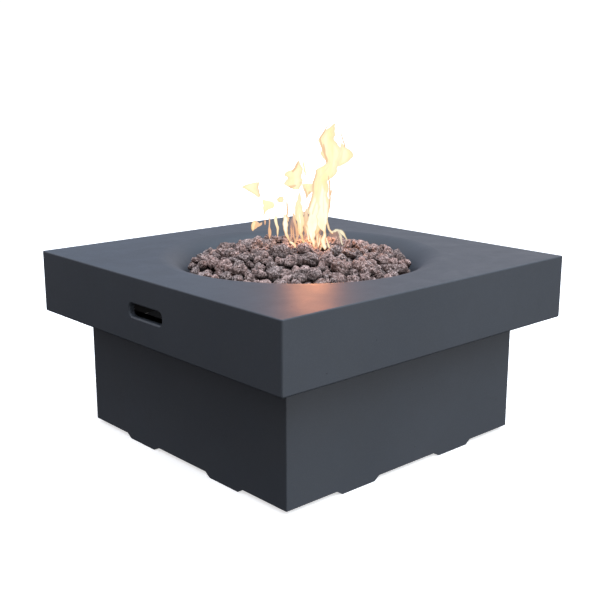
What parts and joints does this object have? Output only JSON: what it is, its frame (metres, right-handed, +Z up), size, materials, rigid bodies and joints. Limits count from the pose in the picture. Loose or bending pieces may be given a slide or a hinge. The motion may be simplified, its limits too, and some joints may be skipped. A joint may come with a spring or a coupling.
{
  "type": "square gas fire pit table",
  "caption": "Low square cast fire pit: thick hollow slab top with a round rolled bowl of lava rock over a gas ring burner, on a narrower plinth with cast feet and rear controls.",
  "frame": {"origin": "centre of the footprint on the ground", "axes": "+Z up; +Y is the side with the gas controls; the two hand slots in the slab face -X and +X"},
  "size_m": [0.864, 0.864, 0.4617],
  "materials": {
    "cast_concrete": "matte",
    "lava_rock": "matte",
    "stainless": "satin",
    "heat_tinted_stainless": "satin",
    "zinc_steel": "satin",
    "galvanised_sheet": "satin",
    "cast_brass": "satin",
    "spark_ceramic": "gloss",
    "black_plastic": "matte",
    "red_plastic": "gloss",
    "spring_steel": "satin",
    "battery_cell": "gloss",
    "copper_capillary": "satin",
    "silicone_lead": "matte"
  },
  "bodies": {
    "body": {"tabletop_casting": "cast_concrete", "base_casting": "cast_concrete", "joint_bolts": "zinc_steel", "joint_washers": "zinc_steel", "joint_nuts": "zinc_steel", "burner_pan": "stainless", "pan_screws": "stainless", "ring_burner": "heat_tinted_stainless", "burner_standoffs": "stainless", "burner_inlet_nipple": "cast_brass", "pan_lock_nuts": "cast_brass", "air_mixer": "cast_brass", "orifice_holder": "cast_brass", "heat_shield": "galvanised_sheet", "heat_shield_spacers": "zinc_steel", "heat_shield_screws": "zinc_steel", "pilot_bracket": "stainless", "pilot_rivets": "stainless", "spark_electrode": "spark_ceramic", "thermocouple": "stainless", "control_panel": "stainless", "panel_screws": "zinc_steel", "valve_body": "cast_brass", "valve_magnet_unit": "cast_brass", "valve_bonnet_nut": "zinc_steel", "stem_spring": "spring_steel", "igniter_housing": "black_plastic", "igniter_lock_nut": "black_plastic", "igniter_battery": "battery_cell", "igniter_spring": "spring_steel", "gas_inlet_fitting": "cast_brass", "inlet_lock_nut": "cast_brass", "supply_pipe": "copper_capillary", "supply_pipe_nuts": "cast_brass", "flex_gas_line": "stainless", "flex_line_nuts": "cast_brass", "thermocouple_lead": "copper_capillary", "ignition_lead": "silicone_lead"},
    "rock_bed": {"rock_grate": "heat_tinted_stainless", "lava_rocks": "lava_rock"},
    "stem_seat": {"stem_spring_seat": "stainless"},
    "knob": {"control_knob": "black_plastic", "valve_stem": "stainless"},
    "igniter_button": {"igniter_button": "red_plastic"},
    "air_shutter": {"air_shutter": "stainless"}
  },
  "joints": [
    {"name": "rock_grate_lift", "type": "slide", "parent": "body", "child": "rock_bed", "axis": [0, 0, 1], "range_m": [0, 0.15]},
    {"name": "knob_push", "type": "slide", "parent": "body", "child": "stem_seat", "axis": [0, -1, 0], "range_m": [0, 0.006], "stiffness_N_per_m": 800, "springref_m": -0.004, "deforming": ["stem_spring"]},
    {"name": "knob_turn", "type": "hinge", "parent": "stem_seat", "child": "knob", "pos_m": [-0.04, 0.366, 0.165], "axis": [0, 1, 0], "range_deg": [0, 180]},
    {"name": "igniter_push", "type": "slide", "parent": "body", "child": "igniter_button", "axis": [0, -1, 0], "range_m": [0, 0.004], "stiffness_N_per_m": 600, "springref_m": -0.003, "deforming": ["igniter_spring"]},
    {"name": "air_shutter_turn", "type": "hinge", "parent": "body", "child": "air_shutter", "pos_m": [0, 0, 0.255], "axis": [0, 0, 1], "range_deg": [0, 55]}
  ]
}
